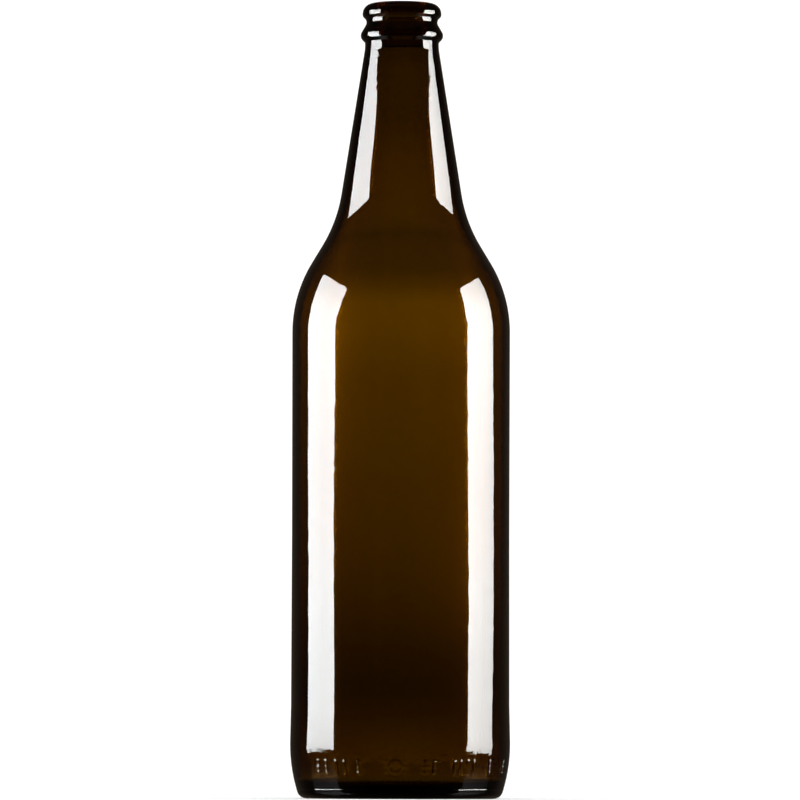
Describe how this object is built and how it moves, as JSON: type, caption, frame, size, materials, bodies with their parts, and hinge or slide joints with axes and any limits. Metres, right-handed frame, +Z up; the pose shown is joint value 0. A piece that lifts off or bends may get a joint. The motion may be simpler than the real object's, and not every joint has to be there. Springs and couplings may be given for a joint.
{
  "type": "empty beer bottle",
  "caption": "Open, empty long-neck beer bottle of amber glass: crown-cap finish with a bead, tapering neck, round shoulder, straight body and a pushed-up base.",
  "frame": {"origin": "centre of the resting ring, on the surface the bottle stands on", "axes": "+Z up along the bottle's axis, from the base to the mouth; -Y is the side that faced the viewer"},
  "size_m": [0.074, 0.0742, 0.268],
  "materials": {
    "amber_glass": "clear and glossy"
  },
  "bodies": {
    "root": {"bottle": "amber_glass"}
  },
  "joints": []
}
